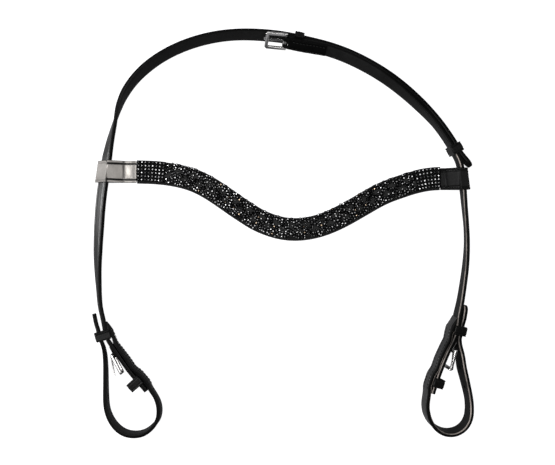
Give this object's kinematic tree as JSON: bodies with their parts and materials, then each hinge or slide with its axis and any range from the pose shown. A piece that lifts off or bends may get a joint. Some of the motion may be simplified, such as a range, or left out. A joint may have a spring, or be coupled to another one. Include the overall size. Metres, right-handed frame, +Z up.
{
  "type": "bridle headpiece with browband",
  "caption": "Bridle headpiece laid flat: buckled crown strap, two cheeks ending in buckled bit loops, and a wave-shaped browband with a plaited crystal front.",
  "frame": {"origin": "middle of the outline, on the surface the headpiece lies on", "axes": "+X to the wearer's side on the right of the view, +Y towards the poll, +Z up from the surface"},
  "size_m": [0.3817, 0.4094, 0.0228],
  "materials": {
    "strap_leather": "black bridle leather, waxed, semi-gloss grain side and matt flesh side",
    "keeper_leather": "black bridle leather, satin",
    "loop_leather": "black glossy leather with fine grain",
    "silvered_leather": "the left end loop: grained leather with a silvery glaze",
    "browband_leather": "soft black padded leather",
    "padding_foam": "foam padding, hidden",
    "polished_steel": "polished stainless steel",
    "crystal_chain": "blackened cup chain",
    "crystal": "faceted jet and grey cut stones",
    "black_thread": "waxed black thread"
  },
  "bodies": {
    "headpiece": {"left_strap": "strap_leather", "right_strap": "strap_leather", "left_bit_strap": "strap_leather", "right_bit_strap": "strap_leather", "crown_chape": "strap_leather", "left_bit_chape": "strap_leather", "right_bit_chape": "strap_leather", "crown_fixed_keeper": "keeper_leather", "left_upper_keeper": "keeper_leather", "left_lower_keeper": "keeper_leather", "right_upper_keeper": "keeper_leather", "right_lower_keeper": "keeper_leather", "crown_seam_stitching": "black_thread", "left_bit_seam_stitching": "black_thread", "right_bit_seam_stitching": "black_thread"},
    "runner_keeper": {"crown_runner_keeper": "keeper_leather"},
    "crown_buckle": {"crown_buckle_frame": "polished_steel"},
    "crown_tongue": {"crown_buckle_tongue": "polished_steel"},
    "left_bit_buckle": {"left_bit_buckle_frame": "polished_steel"},
    "left_bit_tongue": {"left_bit_buckle_tongue": "polished_steel"},
    "right_bit_buckle": {"right_bit_buckle_frame": "polished_steel"},
    "right_bit_tongue": {"right_bit_buckle_tongue": "polished_steel"},
    "browband": {"browband_backing": "browband_leather", "browband_padding": "padding_foam", "browband_face": "browband_leather", "left_crystal_base": "crystal_chain", "right_crystal_base": "crystal_chain", "left_end_crystals": "crystal", "right_end_crystals": "crystal", "crystal_strand_1": "crystal_chain", "crystal_strand_2": "crystal_chain", "crystal_strand_3": "crystal_chain", "left_end_loop": "silvered_leather", "right_end_loop": "loop_leather", "left_end_stitching": "black_thread", "right_end_stitching": "black_thread"}
  },
  "joints": [
    {"name": "browband_slide", "type": "slide", "parent": "headpiece", "child": "browband", "axis": [0, 1, 0], "range_m": [-0.003, 0]},
    {"name": "runner_keeper_slide", "type": "hinge", "parent": "headpiece", "child": "runner_keeper", "pos_m": [-0.021, -0.0274, 0], "axis": [0, 0, 1], "range_deg": [0, 5.5]},
    {"name": "crown_buckle_swing", "type": "hinge", "parent": "headpiece", "child": "crown_buckle", "pos_m": [0.00212, 0.1905, 0.01283], "axis": [-0.1136, -0.6501, -0.7513], "range_deg": [-50, 4]},
    {"name": "crown_tongue_swing", "type": "hinge", "parent": "crown_buckle", "child": "crown_tongue", "pos_m": [0.00212, 0.1905, 0.01283], "axis": [-0.1136, -0.6501, -0.7513], "range_deg": [0, 6]},
    {"name": "left_bit_buckle_swing", "type": "hinge", "parent": "headpiece", "child": "left_bit_buckle", "pos_m": [-0.16954, -0.12252, 0.01021], "axis": [-0.0232, -0.0171, -0.9996], "range_deg": [-5, 8]},
    {"name": "left_bit_tongue_swing", "type": "hinge", "parent": "left_bit_buckle", "child": "left_bit_tongue", "pos_m": [-0.16954, -0.12252, 0.01021], "axis": [-0.0232, -0.0171, -0.9996], "range_deg": [-16.5, 4]},
    {"name": "right_bit_buckle_swing", "type": "hinge", "parent": "headpiece", "child": "right_bit_buckle", "pos_m": [0.16824, -0.11597, 0.01213], "axis": [0.2832, -0.1434, 0.9483], "range_deg": [-8, 5]},
    {"name": "right_bit_tongue_swing", "type": "hinge", "parent": "right_bit_buckle", "child": "right_bit_tongue", "pos_m": [0.16824, -0.11597, 0.01213], "axis": [0.2832, -0.1434, 0.9483], "range_deg": [-9.5, 6]}
  ]
}
